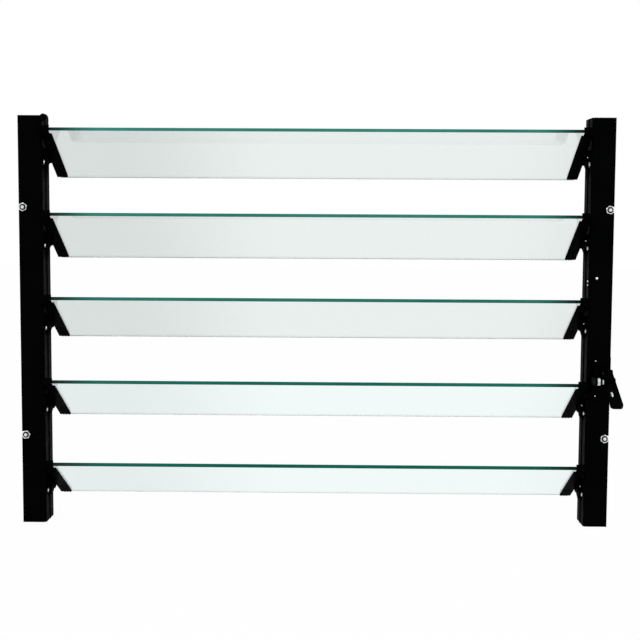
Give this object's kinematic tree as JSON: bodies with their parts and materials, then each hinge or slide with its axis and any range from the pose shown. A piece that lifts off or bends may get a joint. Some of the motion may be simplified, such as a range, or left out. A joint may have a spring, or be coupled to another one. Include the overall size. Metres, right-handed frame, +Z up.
{
  "type": "jalousie window",
  "caption": "Louvre window with tilting clear glass blades held in black clips between two bolt-on black jamb channels, linked by tie bars and set by a lever handle.",
  "frame": {"origin": "on the wall side of the left jamb's flange, at half its height and half its width", "axes": "+X to the right as seen from the room, along the blades; +Y from the room to the outside; +Z up"},
  "size_m": [0.9976, 0.2043, 0.69],
  "materials": {
    "black_coat": "satin black powder coat on pressed steel",
    "black_nylon": "moulded black nylon, fine grain",
    "glass": "clear float glass with polished long edges",
    "zinc": "zinc plated steel"
  },
  "bodies": {
    "frame": {"left_jamb": "black_coat", "right_jamb": "black_coat", "handle_bracket": "black_coat", "handle_pivot_pin": "zinc"},
    "blade_1": {"glass_blade_1": "glass", "left_clip_1": "black_nylon", "right_clip_1": "black_nylon"},
    "blade_2": {"glass_blade_2": "glass", "left_clip_2": "black_nylon", "right_clip_2": "black_nylon"},
    "blade_3": {"glass_blade_3": "glass", "left_clip_3": "black_nylon", "right_clip_3": "black_nylon"},
    "blade_4": {"glass_blade_4": "glass", "left_clip_4": "black_nylon", "right_clip_4": "black_nylon"},
    "blade_5": {"glass_blade_5": "glass", "left_clip_5": "black_nylon", "right_clip_5": "black_nylon"},
    "tie_bars": {"left_tie_bar": "black_coat", "right_tie_bar": "black_coat", "drive_link": "black_coat"},
    "handle": {"handle_lever": "black_coat"}
  },
  "joints": [
    {"name": "blade_3_tilt", "type": "hinge", "parent": "frame", "child": "blade_3", "pos_m": [0.47825, 0.0315, 0], "axis": [-1, 0, 0], "range_deg": [-29, 50]},
    {"name": "blade_1_tilt", "type": "hinge", "parent": "frame", "child": "blade_1", "pos_m": [0.47825, 0.0315, 0.28], "axis": [-1, 0, 0], "range_deg": [-29, 50]},
    {"name": "blade_2_tilt", "type": "hinge", "parent": "frame", "child": "blade_2", "pos_m": [0.47825, 0.0315, 0.14], "axis": [-1, 0, 0], "range_deg": [-29, 50]},
    {"name": "blade_4_tilt", "type": "hinge", "parent": "frame", "child": "blade_4", "pos_m": [0.47825, 0.0315, -0.14], "axis": [-1, 0, 0], "range_deg": [-29, 50]},
    {"name": "blade_5_tilt", "type": "hinge", "parent": "frame", "child": "blade_5", "pos_m": [0.47825, 0.0315, -0.28], "axis": [-1, 0, 0], "range_deg": [-29, 50]},
    {"name": "tie_bar_pivot", "type": "hinge", "parent": "blade_3", "child": "tie_bars", "pos_m": [0.47825, 0.01072, -0.012], "axis": [-1, 0, 0], "range_deg": [-50, 29]},
    {"name": "handle_swing", "type": "hinge", "parent": "frame", "child": "handle", "pos_m": [0.97025, -0.0165, -0.08], "axis": [-1, 0, 0], "range_deg": [-29, 50]}
  ],
  "couplings": [
    {"joint": "blade_1_tilt", "follows": "blade_3_tilt", "ratio": 1},
    {"joint": "blade_2_tilt", "follows": "blade_3_tilt", "ratio": 1},
    {"joint": "blade_4_tilt", "follows": "blade_3_tilt", "ratio": 1},
    {"joint": "blade_5_tilt", "follows": "blade_3_tilt", "ratio": 1},
    {"joint": "tie_bar_pivot", "follows": "blade_3_tilt", "ratio": -1},
    {"joint": "handle_swing", "follows": "blade_3_tilt", "ratio": 1}
  ]
}
